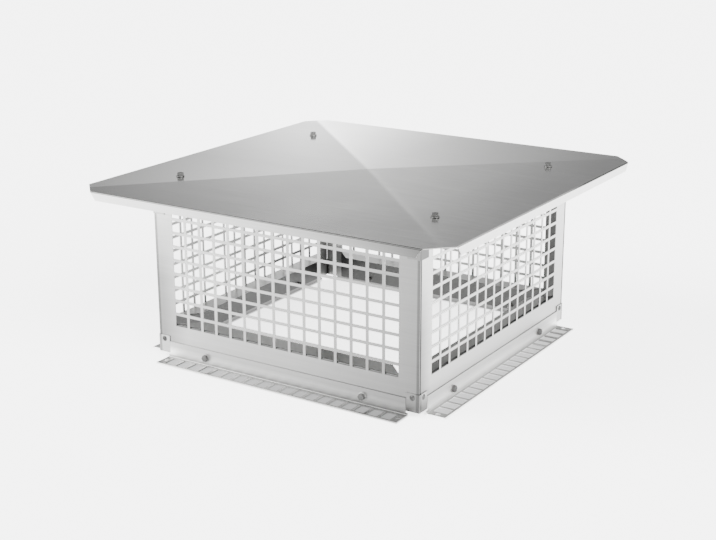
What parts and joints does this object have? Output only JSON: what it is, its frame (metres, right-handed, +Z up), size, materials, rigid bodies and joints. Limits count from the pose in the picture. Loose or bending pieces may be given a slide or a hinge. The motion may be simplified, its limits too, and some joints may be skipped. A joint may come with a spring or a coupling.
{
  "type": "chimney rain cap",
  "caption": "Square stainless chimney rain cap: shallow cross-broken lid over a cage of perforated screens with slotted angle feet.",
  "frame": {"origin": "centre of the base, in the plane that the undersides of the feet stand on", "axes": "+Z up, -Y the front, +X the right; the lid screws lie nearer the left and right edges"},
  "size_m": [0.448, 0.448, 0.1997],
  "materials": {
    "sheet_steel": "brushed stainless sheet",
    "screen_steel": "brushed stainless sheet, punched",
    "screw_steel": "plain stainless screw",
    "rivet_steel": "plain stainless rivet"
  },
  "bodies": {
    "cage": {"front_screen": "screen_steel", "front_ledge": "sheet_steel", "front_foot": "sheet_steel", "front_foot_screws": "screw_steel", "right_screen": "screen_steel", "right_ledge": "sheet_steel", "right_foot": "sheet_steel", "right_foot_screws": "screw_steel", "back_screen": "screen_steel", "back_ledge": "sheet_steel", "back_foot": "sheet_steel", "back_foot_screws": "screw_steel", "left_screen": "screen_steel", "left_ledge": "sheet_steel", "left_foot": "sheet_steel", "left_foot_screws": "screw_steel", "left_lid_rail": "sheet_steel", "right_lid_rail": "sheet_steel", "front_left_bottom_clip": "sheet_steel", "front_right_bottom_clip": "sheet_steel", "back_right_bottom_clip": "sheet_steel", "back_left_bottom_clip": "sheet_steel", "front_left_top_clip": "sheet_steel", "front_right_top_clip": "sheet_steel", "back_right_top_clip": "sheet_steel", "back_left_top_clip": "sheet_steel", "bottom_clip_rivets": "rivet_steel"},
    "lid": {"lid": "sheet_steel"},
    "lid_screws": {"lid_screws": "screw_steel"}
  },
  "joints": [
    {"name": "lid_lift", "type": "slide", "parent": "cage", "child": "lid", "axis": [0, 0, 1], "range_m": [0, 0.15]},
    {"name": "lid_screw_draw", "type": "slide", "parent": "lid", "child": "lid_screws", "axis": [0, 0, 1], "range_m": [0, 0.02]}
  ]
}
